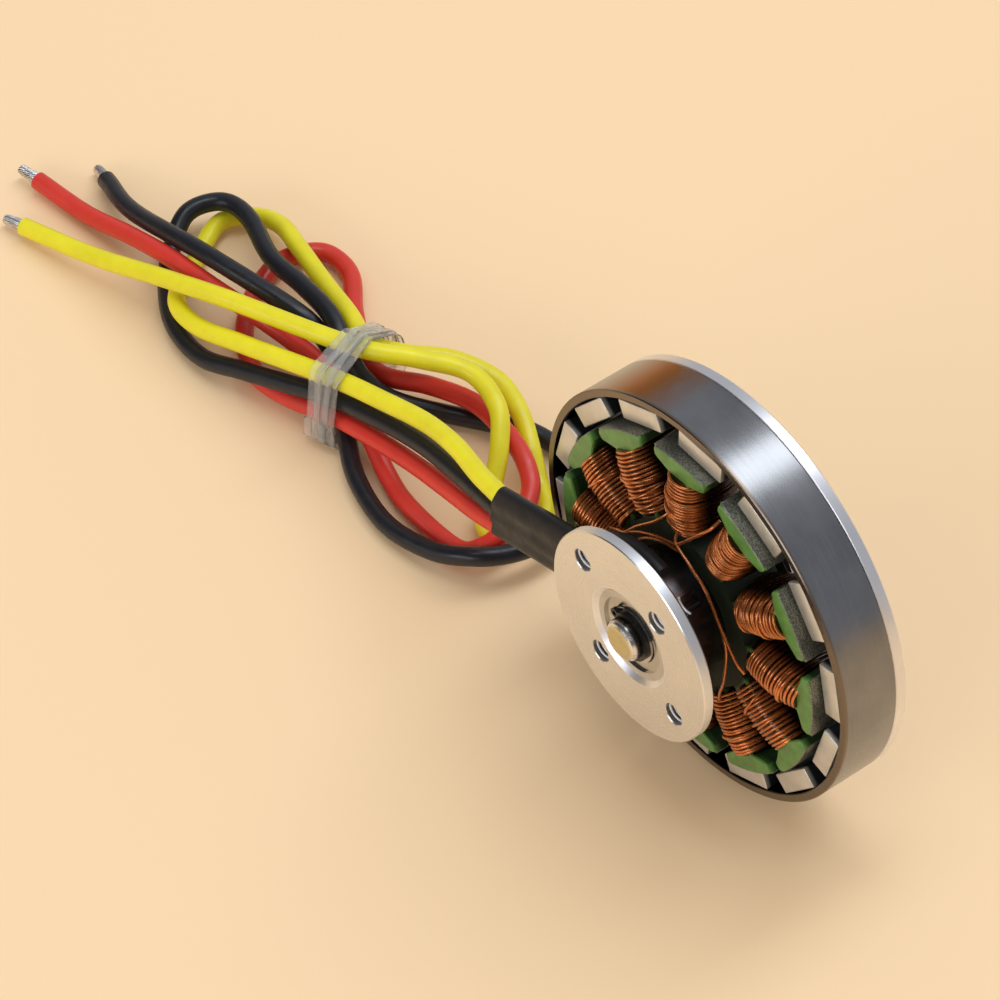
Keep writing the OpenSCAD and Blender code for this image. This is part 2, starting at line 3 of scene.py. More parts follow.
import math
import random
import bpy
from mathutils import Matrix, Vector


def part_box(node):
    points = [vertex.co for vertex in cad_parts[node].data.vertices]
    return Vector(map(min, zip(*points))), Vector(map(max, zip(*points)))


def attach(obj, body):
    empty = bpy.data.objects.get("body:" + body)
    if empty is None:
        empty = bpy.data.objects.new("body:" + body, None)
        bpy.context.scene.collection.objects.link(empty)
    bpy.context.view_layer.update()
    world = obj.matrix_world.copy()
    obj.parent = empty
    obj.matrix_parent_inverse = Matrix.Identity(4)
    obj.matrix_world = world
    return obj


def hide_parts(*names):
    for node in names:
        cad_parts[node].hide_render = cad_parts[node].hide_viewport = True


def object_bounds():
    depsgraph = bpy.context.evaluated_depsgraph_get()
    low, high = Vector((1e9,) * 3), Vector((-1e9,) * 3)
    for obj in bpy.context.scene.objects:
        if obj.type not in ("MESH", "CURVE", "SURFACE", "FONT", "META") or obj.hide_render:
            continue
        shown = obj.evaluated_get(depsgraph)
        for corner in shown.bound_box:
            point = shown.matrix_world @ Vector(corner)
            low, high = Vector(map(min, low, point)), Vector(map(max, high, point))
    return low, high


bl_info = {
    "name": "Brushless Motor Looks",
    "version": (1, 0, 0),
    "blender": (4, 5, 0),
    "location": "View3D > Sidebar > Motor",
    "description": "Leads, windings, bearings, magnets and finishes of a brushless motor",
    "category": "Object",
}

import bmesh
import bpy
from mathutils import Matrix, Vector

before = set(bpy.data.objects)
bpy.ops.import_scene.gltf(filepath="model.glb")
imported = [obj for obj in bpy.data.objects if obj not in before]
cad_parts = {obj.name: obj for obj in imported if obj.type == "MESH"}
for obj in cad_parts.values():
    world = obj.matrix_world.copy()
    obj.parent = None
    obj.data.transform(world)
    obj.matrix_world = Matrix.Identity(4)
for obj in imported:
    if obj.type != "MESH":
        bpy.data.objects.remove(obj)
CAD_BOX = [list(corner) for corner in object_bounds()]

MM = 0.001
STATOR = "stator"
ROTOR = "rotor"
TEETH = 12
TOOTH_STEP = 360.0 / TEETH
MAGNETS = 14
TEETH_OF_PHASE = {"a": (0, 1, 6, 7), "b": (2, 3, 8, 9), "c": (4, 5, 10, 11)}

# Routes of the leads in millimetres, the same points that the solids follow
YELLOW_ROUTE = [
    (-28, 5, -6.5), (-33, 5.6, -7.5), (-39, 6.9, -9), (-45.5, 7.6, -11.2), (-53, 7, -13.6),
    (-61, 5.6, -15.6), (-74, 2, -18.6), (-80.5, 0.4, -20.2), (-85.5, 0.8, -21), (-89, 3.6, -21.8),
    (-91.6, 7, -23.4), (-94.2, 10.6, -23.7), (-96, 14.6, -23.7), (-94, 18.2, -23.6), (-89.8, 19, -22.2),
    (-84.5, 17.8, -20.9), (-77.5, 16.4, -20.2), (-70.5, 15, -19), (-64.5, 13.4, -17.8), (-60.5, 16, -18),
    (-57, 20.2, -18.8), (-52, 22.8, -19.8), (-47, 22.2, -20.6), (-42.5, 20.4, -21.8), (-39, 18.8, -23.6),
    (-35.6, 17.2, -23.7), (-33.4, 14.4, -23.7), (-33.6, 11.2, -23.7), (-36, 9.6, -23.7),
    (-38.6, 10.4, -22.8), (-40.2, 13, -20.8), (-42.8, 16, -18.2), (-46.4, 18.4, -16.4),
    (-52, 18.8, -15.8), (-57, 15, -15.2), (-63, 10, -14.8), (-79, 3.8, -16.4), (-88.5, 0.8, -18.6),
    (-99, -2, -21.8), (-110, -5, -23.7),
]
BLACK_ROUTE = [
    (-28, 5, -9), (-39, 6.4, -12.4), (-46, 7, -14.6), (-53.5, 6.6, -16.8), (-61, 5.2, -18.6),
    (-67, 3.2, -20.2), (-73, 1.2, -21.8), (-79, -0.6, -23.4), (-85.5, 0, -23.7), (-91.5, 3.2, -23.7),
    (-96, 7.2, -23.4), (-98.2, 11.2, -21.8), (-96.6, 15.2, -21.2), (-92, 15.8, -20.6),
    (-84, 13.4, -19.4), (-77, 13, -18.2), (-70.5, 12.4, -17.6), (-65.8, 11, -18.6), (-62, 11.2, -21),
    (-58.5, 13.6, -23.2), (-50.5, 19.8, -23.7), (-46.6, 22.8, -23.7), (-42, 24, -23.7), (-37.6, 22.8, -23),
    (-34, 20, -21.6), (-31, 16.4, -21.2), (-30.2, 12.2, -21.2), (-31.2, 8, -21.2), (-33.4, 4.6, -21.2),
    (-38, 2.4, -22.8), (-45, 1.2, -23.7), (-52.5, 2.6, -23.7), (-58.5, 5.6, -23.4), (-63, 8.6, -23.4),
    (-66.8, 10.6, -22.4), (-70, 11, -20.4), (-74, 9.8, -18), (-88, 6.4, -17.4), (-102, 5.8, -21.4),
    (-110.5, 7.5, -23.7),
]
RED_ROUTE = [
    (-28, 5, -11.5), (-33, 5.2, -13.4), (-39, 5.8, -15.6), (-46, 6.2, -17.8), (-53.5, 5.8, -19.6),
    (-61, 5, -21.4), (-66.5, 3.6, -22.8), (-72.5, 3, -23.7), (-78, 5, -23.7), (-82, 8.4, -23.7),
    (-84.8, 12.4, -23.7), (-86.2, 16.8, -23.7), (-84.2, 21.2, -23.7), (-79.4, 21.6, -23.7),
    (-74, 18.2, -23.4), (-68.5, 15.4, -23), (-63, 14, -22.4), (-57.5, 17, -21.6), (-51.5, 18.9, -20.6),
    (-45.5, 18.6, -19.7), (-40.8, 17.8, -19.8), (-37.2, 16.2, -20.6), (-35, 13.4, -21.3),
    (-34, 10.2, -21), (-34.2, 7.2, -21.9), (-37, 5.4, -23.7), (-45, 4.8, -23.7), (-51, 5.8, -23.6),
    (-60.5, 8.2, -21.2), (-67, 8.2, -20.2), (-75, 7.2, -20), (-84, 5, -19.2), (-91.5, 3.8, -19.4),
    (-99, 3.2, -21.4), (-107, 2.2, -23.6), (-115.5, 0.8, -23.7),
]


# ---------------------------------------------------------------- helpers

def settings():
    """The add-on's sizes and colours."""
    return bpy.context.scene.motor_looks


def node(name):
    """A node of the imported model."""
    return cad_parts[name]


def unit_noise(seed):
    """A repeatable source of random numbers."""
    return random.Random(seed)


def spun(radius, along, angle, across=0.0):
    """A point at a radius and angle about the shaft, moved sideways by across, all in metres and degrees."""
    turn = math.radians(angle)
    x = radius * math.cos(turn) - across * math.sin(turn)
    z = radius * math.sin(turn) + across * math.cos(turn)
    return Vector((x, along, z))


def facing(back, aside, place):
    """A placement that looks against back, with its right side square to aside."""
    back = Vector(back).normalized()
    right = Vector(aside).cross(back).normalized()
    turn = Matrix((right, back.cross(right), back)).transposed().to_4x4()
    return Matrix.Translation(place) @ turn


def add_piece(name, data, material, body):
    """Puts mesh or curve data into the scene as a piece that rides on a body."""
    piece = bpy.data.objects.new(name, data)
    bpy.context.scene.collection.objects.link(piece)
    data.materials.append(material)
    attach(piece, body)
    return piece


def dress(name, finish):
    """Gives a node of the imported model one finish."""
    materials = node(name).data.materials
    materials.clear()
    materials.append(finish.material)


def skin(bm, rings):
    """Faces from each closed ring of vertices to the next."""
    for first, second in zip(rings, rings[1:]):
        for k in range(len(first)):
            following = (k + 1) % len(first)
            bm.faces.new((first[k], first[following], second[following], second[k]))


def mesh_from(name, bm, smooth_angle=None):
    """Writes a bmesh into new mesh data, with its doubles merged and its normals outward."""
    bmesh.ops.remove_doubles(bm, verts=bm.verts, dist=1e-7)
    bmesh.ops.recalc_face_normals(bm, faces=bm.faces)
    data = bpy.data.meshes.new(name)
    bm.to_mesh(data)
    bm.free()
    if smooth_angle is not None:
        data.polygons.foreach_set("use_smooth", [True] * len(data.polygons))
        data.set_sharp_from_angle(angle=math.radians(smooth_angle))
    return data


def curve_from(name, lines, diameter, sides=3):
    """Round wires through lists of points, as one curve."""
    data = bpy.data.curves.new(name, "CURVE")
    data.dimensions = "3D"
    data.bevel_depth = diameter / 2
    data.bevel_resolution = sides
    data.use_fill_caps = True
    for line in lines:
        spline = data.splines.new("POLY")
        spline.points.add(len(line) - 1)
        for point, place in zip(spline.points, line):
            point.co = (place[0], place[1], place[2], 1.0)
        spline.use_smooth = True
    return data


def smooth_line(points, steps):
    """A uniform Catmull-Rom line through points, with straight run-outs at both ends."""
    points = [Vector(p) for p in points]
    points = [2 * points[0] - points[1]] + points + [2 * points[-1] - points[-2]]
    line = []
    for i in range(1, len(points) - 2):
        a, b, c, d = points[i - 1:i + 3]
        for k in range(steps):
            t = k / steps
            line.append(0.5 * (2 * b + (c - a) * t + (2 * a - 5 * b + 4 * c - d) * t * t
                               + (3 * b - a - 3 * c + d) * t ** 3))
    line.append(points[-2])
    return line


# -------------------------------------------------------------- materials

class Finish:
    """A node material with object coordinates and small tools to vary it."""

    def __init__(self, name, colour, roughness, metallic=0.0, **sockets):
        self.material = bpy.data.materials.new(name)
        self.material.use_nodes = True
        self.tree = self.material.node_tree
        self.shader = self.tree.nodes["Principled BSDF"]
        self.shader.inputs["Base Color"].default_value = (*colour, 1.0)
        self.shader.inputs["Roughness"].default_value = roughness
        self.shader.inputs["Metallic"].default_value = metallic
        for socket, value in sockets.items():
            self.shader.inputs[socket.replace("_", " ")].default_value = value
        self.place = self.tree.nodes.new("ShaderNodeTexCoord").outputs["Object"]
        self.bump_out = None

    def node(self, kind, **values):
        made = self.tree.nodes.new(kind)
        for key, value in values.items():
            setattr(made, key, value)
        return made

    def link(self, out, into):
        self.tree.links.new(out, into)

    def scaled(self, factors, where=None):
        """Coordinates stretched by a factor along each axis."""
        mapping = self.node("ShaderNodeMapping")
        mapping.inputs["Scale"].default_value = factors
        self.link(where or self.place, mapping.inputs["Vector"])
        return mapping.outputs["Vector"]

    def noise(self, scale, detail=3.0, where=None, roughness=0.55):
        made = self.node("ShaderNodeTexNoise")
        made.inputs["Scale"].default_value = scale
        made.inputs["Detail"].default_value = detail
        made.inputs["Roughness"].default_value = roughness
        self.link(where or self.place, made.inputs["Vector"])
        return made.outputs["Fac"]

    def axis(self, name):
        """Place along one axis."""
        parts = self.node("ShaderNodeSeparateXYZ")
        self.link(self.place, parts.inputs[0])
        return parts.outputs[name]

    def joined(self, **parts):
        """A vector from its parts."""
        made = self.node("ShaderNodeCombineXYZ")
        for name, out in parts.items():
            self.link(out, made.inputs[name])
        return made.outputs[0]

    def along(self):
        """Distance along the shaft from the mounting face."""
        return self.axis("Y")

    def radius(self):
        """Distance from the shaft axis."""
        length = self.node("ShaderNodeVectorMath", operation="LENGTH")
        self.link(self.joined(X=self.axis("X"), Z=self.axis("Z")), length.inputs[0])
        return length.outputs["Value"]

    def turn(self):
        """Angle about the shaft in radians, 0 on the right and half a turn on the left."""
        return self.maths("ARCTAN2", self.axis("Z"), self.axis("X"))

    def wrapped(self, round_scale, along_scale):
        """Coordinates that run round the shaft and along it, for streaks from brushing."""
        return self.scaled((round_scale, along_scale, 1.0), self.joined(X=self.turn(), Y=self.along()))

    def maths(self, operation, first, second):
        made = self.node("ShaderNodeMath", operation=operation)
        self.link(first, made.inputs[0])
        self.link(second, made.inputs[1])
        return made.outputs[0]

    def fade(self, value, low, high, bottom=0.0, top=1.0):
        """A value brought from low..high to bottom..top, and held there."""
        made = self.node("ShaderNodeMapRange")
        made.clamp = True
        for socket, number in zip(("From Min", "From Max", "To Min", "To Max"), (low, high, bottom, top)):
            made.inputs[socket].default_value = number
        self.link(value, made.inputs["Value"])
        return made.outputs["Result"]

    def times(self, first, *others):
        """The product of two or more values, for a patch where all of them hold."""
        for other in others:
            first = self.maths("MULTIPLY", first, other)
        return first

    def most(self, first, second):
        """The larger of two values."""
        return self.maths("MAXIMUM", first, second)

    def between(self, value, low, full_low, full_high, high):
        """A patch that fades in from low and out again towards high."""
        return self.times(self.fade(value, low, full_low), self.fade(value, high, full_high))

    def mix(self, share, first, second):
        """Colours blended by a share; each is a colour or an output."""
        made = self.node("ShaderNodeMix", data_type="RGBA")
        self.link(share, made.inputs["Factor"])
        for socket, colour in ((made.inputs[6], first), (made.inputs[7], second)):
            if isinstance(colour, tuple):
                socket.default_value = (*colour, 1.0)
            else:
                self.link(colour, socket)
        return made.outputs[2]

    def colour(self, out):
        self.link(out, self.shader.inputs["Base Color"])

    def roughness(self, value, low, high, bottom, top):
        self.link(self.fade(value, low, high, bottom, top), self.shader.inputs["Roughness"])

    def bump(self, height, strength, distance):
        made = self.node("ShaderNodeBump")
        made.inputs["Strength"].default_value = strength
        made.inputs["Distance"].default_value = distance
        self.link(height, made.inputs["Height"])
        if self.bump_out:
            self.link(self.bump_out, made.inputs["Normal"])
        self.bump_out = made.outputs["Normal"]
        self.link(self.bump_out, self.shader.inputs["Normal"])


def turned_metal(name, light, dark, roughness, groove=0.15):
    """Lathe-turned metal: fine rings about the shaft and a slight mottle."""
    finish = Finish(name, light, roughness, 1.0)
    rings = finish.node("ShaderNodeTexNoise", noise_dimensions="1D")
    rings.inputs["Scale"].default_value = 9000.0
    rings.inputs["Detail"].default_value = 2.0
    finish.link(finish.radius(), rings.inputs["W"])
    cloud = finish.noise(180.0, 4.0)
    finish.colour(finish.mix(finish.fade(cloud, 0.35, 0.7), dark, light))
    finish.roughness(rings.outputs["Fac"], 0.3, 0.7, roughness * 0.8, roughness * 1.25)
    finish.bump(rings.outputs["Fac"], groove, 0.00002)
    return finish


def silicone(name, colour, deep):
    """Satin silicone rubber with a faint unevenness and dust."""
    finish = Finish(name, colour, 0.38, 0.0, Specular_IOR_Level=0.5)
    cloud = finish.noise(260.0, 4.0)
    finish.colour(finish.mix(finish.fade(cloud, 0.3, 0.72), deep, colour))
    finish.roughness(finish.noise(900.0, 3.0), 0.35, 0.7, 0.3, 0.46)
    finish.bump(finish.noise(2600.0, 3.0), 0.25, 0.00002)
    finish.bump(finish.noise(240.0, 2.0), 0.35, 0.00012)
    return finish


def enamelled_copper(name, bright, deep):
    """Copper wire under brown enamel, a little different from turn to turn, with painted shade far along the
    shaft.
    """
    finish = Finish(name, bright, 0.28, 0.85, Coat_Weight=0.5, Coat_Roughness=0.12)
    patch = finish.noise(420.0, 3.0)
    varied = finish.mix(finish.fade(patch, 0.32, 0.68), deep, bright)
    # Painted shade: beyond the coil fronts the copper goes almost black, for the sides that lie in shade
    painted_depth_shade = finish.fade(finish.along(), 0.0078, 0.0096)
    finish.colour(finish.mix(painted_depth_shade, varied, tuple(0.06 * c for c in bright)))
    finish.roughness(finish.noise(1500.0, 2.0), 0.3, 0.7, 0.22, 0.36)
    finish.bump(finish.noise(3200.0, 2.0), 0.2, 0.00002)
    return finish


# ------------------------------------------------------- sizes and colours

class MotorLooks(bpy.types.PropertyGroup):
    """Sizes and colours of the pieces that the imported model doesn't carry."""

    lead_diameter: bpy.props.FloatProperty(
        name="Lead diameter", description="Outer diameter of each silicone lead",
        default=0.0023, min=0.001, max=0.004, unit="LENGTH")
    strand_length: bpy.props.FloatProperty(
        name="Strand length", description="Length of the bare tinned strands of each lead",
        default=0.003, min=0.001, max=0.01, unit="LENGTH")
    coil_wire: bpy.props.FloatProperty(
        name="Coil wire", description="Diameter of the enamelled wire on the teeth",
        default=0.00037, min=0.0002, max=0.001, unit="LENGTH")
    coil_turns: bpy.props.IntProperty(
        name="Coil turns", description="Turns that show on each tooth", default=17, min=6, max=24)
    tooth_angle: bpy.props.FloatProperty(
        name="Tooth angle", description="Angle of the first tooth, in degrees", default=5.5)
    magnet_angle: bpy.props.FloatProperty(
        name="Magnet angle", description="Angle of the first magnet, in degrees", default=13.3)
    magnet_width: bpy.props.FloatProperty(
        name="Magnet width", description="Width of each magnet", default=0.0069, unit="LENGTH")
    magnet_thickness: bpy.props.FloatProperty(
        name="Magnet thickness", description="Thickness of each magnet", default=0.0024, unit="LENGTH")
    yellow: bpy.props.FloatVectorProperty(
        name="Yellow", description="Colour of the yellow lead", subtype="COLOR",
        default=(0.81, 0.74, 0.015), min=0.0, max=1.0)
    black: bpy.props.FloatVectorProperty(
        name="Black", description="Colour of the black lead", subtype="COLOR",
        default=(0.011, 0.012, 0.018), min=0.0, max=1.0)
    red: bpy.props.FloatVectorProperty(
        name="Red", description="Colour of the red lead", subtype="COLOR",
        default=(0.66, 0.035, 0.022), min=0.0, max=1.0)
    epoxy: bpy.props.FloatVectorProperty(
        name="Epoxy", description="Colour of the insulation on the stator", subtype="COLOR",
        default=(0.11, 0.255, 0.055), min=0.0, max=1.0)
    copper: bpy.props.FloatVectorProperty(
        name="Copper", description="Colour of the enamelled wire", subtype="COLOR",
        default=(0.74, 0.24, 0.065), min=0.0, max=1.0)
    floor: bpy.props.FloatVectorProperty(
        name="Floor", description="Colour of the floor", subtype="COLOR",
        default=(0.895, 0.665, 0.42), min=0.0, max=1.0)


# ------------------------------------------------------------------ stage

class MOTOR_OT_stage(bpy.types.Operator):
    """Adds the camera, the floor and the soft studio light"""

    bl_idname = "motor.stage"
    bl_label = "Camera, Floor and Light"

    camera_back = (0.51803, -0.40192, 0.75505)
    camera_place = (0.242966, -0.205660, 0.388476)
    lamp_distance = 0.9
    floor_half = 3.0

    def execute(self, context):
        self.add_camera(context)
        self.add_floor(context)
        self.add_lights(context)
        return {"FINISHED"}

    def add_camera(self, context):
        data = bpy.data.cameras.new("camera")
        data.sensor_width = 36.0
        data.lens = 170.4
        data.clip_start = 0.01
        data.clip_end = 20.0
        camera = bpy.data.objects.new("camera", data)
        camera.matrix_world = facing(self.camera_back, (0, 0, 1), self.camera_place)
        context.scene.collection.objects.link(camera)
        context.scene.camera = camera

    def add_floor(self, context):
        lowest = CAD_BOX[0][2]
        bm = bmesh.new()
        bmesh.ops.create_grid(bm, x_segments=8, y_segments=8, size=self.floor_half)
        bmesh.ops.translate(bm, verts=bm.verts, vec=(0, 0, lowest))
        data = mesh_from("floor", bm)
        colour = tuple(settings().floor)
        finish = Finish("floor_paper", colour, 0.62)
        finish.colour(finish.mix(finish.fade(finish.noise(3.0, 2.0), 0.3, 0.7),
                                 tuple(0.985 * c for c in colour), colour))
        finish.bump(finish.noise(1800.0, 3.0), 0.04, 0.00004)
        data.materials.append(finish.material)
        floor = bpy.data.objects.new("floor", data)
        context.scene.collection.objects.link(floor)

    def add_lights(self, context):
        for name, way, wide, high, power, colour in (
                ("key_light", (-0.11, 0.33, 0.93), 0.27, 1.2, 4.4, (0.90, 0.955, 1.0)),
                ("front_light", (0.05, -0.90, 0.38), 0.85, 0.28, 2.5, (0.96, 0.97, 1.0))):
            data = bpy.data.lights.new(name, "AREA")
            data.shape = "RECTANGLE"
            data.size = wide
            data.size_y = high
            data.energy = power
            data.color = colour
            back = Vector(way).normalized()
            aside = (0, 1, 0) if back.z > 0.7 else (0, 0, 1)
            light = bpy.data.objects.new(name, data)
            light.matrix_world = facing(back, aside, self.lamp_distance * back)
            context.scene.collection.objects.link(light)
        self.add_world(context)
        context.scene.view_settings.view_transform = "Standard"

    def add_world(self, context):
        """An even soft fill; in reflections, a grey room that is dark on the side of the mounting face."""
        world = bpy.data.worlds.new("studio")
        world.use_nodes = True
        tree = world.node_tree
        way = tree.nodes.new("ShaderNodeTexCoord").outputs["Generated"]
        parts = tree.nodes.new("ShaderNodeSeparateXYZ")
        tree.links.new(way, parts.inputs[0])
        shade = tree.nodes.new("ShaderNodeMapRange")
        shade.interpolation_type = "SMOOTHSTEP"
        for socket, number in zip(("From Min", "From Max", "To Min", "To Max"), (-0.30, 0.38, 0.0, 1.0)):
            shade.inputs[socket].default_value = number
        tree.links.new(parts.outputs["Y"], shade.inputs["Value"])
        blend = tree.nodes.new("ShaderNodeMix")
        blend.data_type = "RGBA"
        blend.inputs[6].default_value = (0.055, 0.05, 0.048, 1.0)
        blend.inputs[7].default_value = (0.40, 0.415, 0.45, 1.0)
        tree.links.new(shade.outputs["Result"], blend.inputs["Factor"])
        room = tree.nodes.new("ShaderNodeMix")
        room.data_type = "RGBA"
        room.inputs[6].default_value = (0.65, 0.605, 0.54, 1.0)
        tree.links.new(tree.nodes.new("ShaderNodeLightPath").outputs["Is Glossy Ray"], room.inputs["Factor"])
        tree.links.new(blend.outputs[2], room.inputs[7])
        tree.links.new(room.outputs[2], tree.nodes["Background"].inputs["Color"])
        tree.nodes["Background"].inputs["Strength"].default_value = 1.0
        context.scene.world = world


# ------------------------------------------------------------------ leads

class MOTOR_OT_leads(bpy.types.Operator):
    """Lays the three silicone leads with their tinned ends, and ties them with a clear band"""

    bl_idname = "motor.leads"
    bl_label = "Leads"

    strand_wire = 0.00034
    strand_sunk = 0.0004
    strand_added = 0.0003
    strand_twist = 0.35
    strand_taper = 0.25
    film_thickness = 0.00008

    def execute(self, context):
        looks = settings()
        band = self.add_band()
        tin = Finish("tinned_strands", (0.72, 0.72, 0.73), 0.32, 1.0)
        tin.colour(tin.mix(tin.fade(tin.noise(1400.0), 0.35, 0.65), (0.50, 0.50, 0.52), (0.85, 0.85, 0.86)))
        tin.bump(tin.noise(2200.0), 0.4, 0.00006)
        for name, route, colour in (("yellow", YELLOW_ROUTE, looks.yellow),
                                    ("black", BLACK_ROUTE, looks.black), ("red", RED_ROUTE, looks.red)):
            line = [MM * p for p in smooth_line(route, 10)]
            finish = silicone("silicone_" + name, tuple(colour), tuple(0.86 * c for c in colour))
            data = curve_from("lead_" + name, [line], looks.lead_diameter, sides=6)
            lead = add_piece("lead_" + name, data, finish.material, STATOR)
            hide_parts("wire_" + name)
            strands = self.add_strands(name, line, tin.material)
            if name == "yellow":
                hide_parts("strand_ends")
                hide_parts("clear_band")
        return {"FINISHED"}

    def add_strands(self, name, line, material):
        """Twisted tinned strands that carry on from the end of a lead."""
        ahead = (line[-1] - line[-2]).normalized()
        side = ahead.cross(Vector((0, 0, 1))).normalized()
        up = side.cross(ahead)
        start = line[-1] - self.strand_sunk * ahead
        run = settings().strand_length + self.strand_added
        strands = []
        for ring, count, radius in ((0, 1, 0.0), (1, 6, 0.00032), (2, 12, 0.00062)):
            for i in range(count):
                points = []
                for k in range(17):
                    share = k / 16
                    turn = math.tau * (i / count + self.strand_twist * share * ring)
                    close = radius * (1.0 - self.strand_taper * share * share)
                    points.append(start + share * run * ahead
                                  + close * (math.cos(turn) * side + math.sin(turn) * up))
                strands.append(points)
        data = curve_from("strands_" + name, strands, self.strand_wire, sides=2)
        return add_piece("strands_" + name, data, material, STATOR)

    def add_band(self):
        """Clear film wound round the hank in a few loose turns."""
        middle = Vector((-0.0615, 0.0075, 0.0))
        tilt = math.radians(21.7)
        forward = Vector((math.cos(tilt), math.sin(tilt), 0))
        across = Vector((-math.sin(tilt), math.cos(tilt), 0))
        corner_radius = 0.00138
        floor_limit = -0.0236
        floor_lift = 0.0001
        corners = [(-2.4, -15), (-3.3, -20.8), (-3.5, -23.35), (1.2, -23.37), (8.9, -22.75), (7.7, -18),
                   (3.3, -14.75)]
        outline = self.rounded_outline([(MM * a, MM * b) for a, b in corners], corner_radius)
        bm = bmesh.new()
        chance = unit_noise(5)
        for shift, width, lift in (
                (-0.0013, 0.0016, 0.00005), (0.0, 0.0019, 0.00014), (0.0012, 0.0017, 0.00008),
                (-0.0004, 0.0010, 0.00022), (0.0007, 0.0009, 0.00024)):
            wave = chance.uniform(0, math.tau)
            loops = []
            for j in range(5):
                part = (j / 4 - 0.5) * width
                ring = []
                for k, (a, b, na, nb) in enumerate(outline):
                    phase = math.tau * k / len(outline)
                    drift = shift + 0.0004 * math.sin(phase + wave) + 0.0002 * math.sin(3 * phase + 2 * wave)
                    puff = lift + 0.00008 * math.sin(7 * phase + 3 * wave + 2.2 * j)
                    if b < floor_limit:
                        puff = min(puff, floor_lift)
                    place = middle + (drift + part) * forward + (a + puff * na) * across
                    ring.append(bm.verts.new((place.x, place.y, b + puff * nb)))
                loops.append(ring)
            skin(bm, loops)
        film = Finish("clear_film", (1.0, 1.0, 0.99), 0.10, 0.0, Transmission_Weight=0.88, IOR=1.12)
        film.roughness(film.noise(500.0), 0.35, 0.65, 0.04, 0.22)
        film.bump(film.noise(700.0, 3.0, film.scaled((1.0, 1.0, 0.4))), 0.7, 0.0003)
        data = bpy.data.meshes.new("band_film")
        bm.to_mesh(data)
        bm.free()
        data.polygons.foreach_set("use_smooth", [True] * len(data.polygons))
        band = add_piece("band_film", data, film.material, STATOR)
        thick = band.modifiers.new("film", "SOLIDIFY")
        thick.thickness = self.film_thickness
        thick.offset = 1.0
        return band

    def rounded_outline(self, corners, radius):
        """Points and outward directions round the hull of circles at the corners."""
        step = 0.0008
        points = []
        count = len(corners)
        centre = (sum(c[0] for c in corners) / count, sum(c[1] for c in corners) / count)
        corners = sorted(corners, key=lambda c: math.atan2(c[1] - centre[1], c[0] - centre[0]))
        for i in range(count):
            before, here, after = corners[i - 1], corners[i], corners[(i + 1) % count]
            start = math.atan2(here[1] - before[1], here[0] - before[0]) - math.pi / 2
            end = math.atan2(after[1] - here[1], after[0] - here[0]) - math.pi / 2
            while end < start:
                end += math.tau
            for k in range(9):
                turn = start + (end - start) * k / 8
                points.append((here[0] + radius * math.cos(turn), here[1] + radius * math.sin(turn),
                               math.cos(turn), math.sin(turn)))
            parts = max(2, int(math.dist(here, after) / step))
            for k in range(1, parts):
                share = k / parts
                points.append((here[0] + share * (after[0] - here[0]) + radius * math.cos(end),
                               here[1] + share * (after[1] - here[1]) + radius * math.sin(end),
                               math.cos(end), math.sin(end)))
        return points


class MOTOR_OT_sleeves(bpy.types.Operator):
    """Finishes the heat-shrink sleeves where the leads leave the motor"""

    bl_idname = "motor.sleeves"
    bl_label = "Heat-shrink Sleeves"

    half_height = 0.0041
    half_thickness = 0.0016
    lead_pitch = 0.0025
    sides = 72
    sections = 25

    def execute(self, context):
        shrink = Finish("heat_shrink", (0.013, 0.013, 0.016), 0.42, Specular_IOR_Level=0.32)
        shrink.roughness(shrink.noise(500.0), 0.3, 0.7, 0.34, 0.52)
        shrink.bump(shrink.noise(420.0, 3.0), 0.5, 0.0002)
        for name in ("exit_sleeve", "lead_sleeve_a", "lead_sleeve_b", "lead_sleeve_c"):
            dress(name, shrink)
        self.add_exit_sleeve(shrink.material)
        return {"FINISHED"}

    def add_exit_sleeve(self, material):
        """Flat sleeve shrunk over three leads side by side, so that their shapes show through."""
        low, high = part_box("exit_sleeve")
        start = Vector((high[0], 0.0046, -0.0025))
        end = Vector((low[0], 0.005, -0.009))
        rings = []
        bm = bmesh.new()
        for i in range(self.sections):
            share = i / (self.sections - 1)
            centre = start.lerp(end, share)
            waist = 0.10 + 0.25 * share
            rings.append([bm.verts.new(centre + self.section(math.tau * k / self.sides, waist))
                          for k in range(self.sides)])
        skin(bm, rings)
        bm.faces.new(rings[0])
        bm.faces.new(reversed(rings[-1]))
        sleeve = add_piece("exit_shrink", mesh_from("exit_shrink", bm, 50), material, STATOR)
        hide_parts("exit_sleeve")

    def section(self, turn, waist):
        """A flat oval with a waist between the leads."""
        high = self.half_height * math.sin(turn)
        half = math.sqrt(max(0.0, 1.0 - (abs(math.sin(turn))) ** 3.2)) * self.half_thickness
        half *= 1.0 - waist * 0.25 * (1.0 - math.cos(math.tau * high / self.lead_pitch))
        return Vector((0, math.copysign(half, math.cos(turn)), high))


# --------------------------------------------------------------- windings

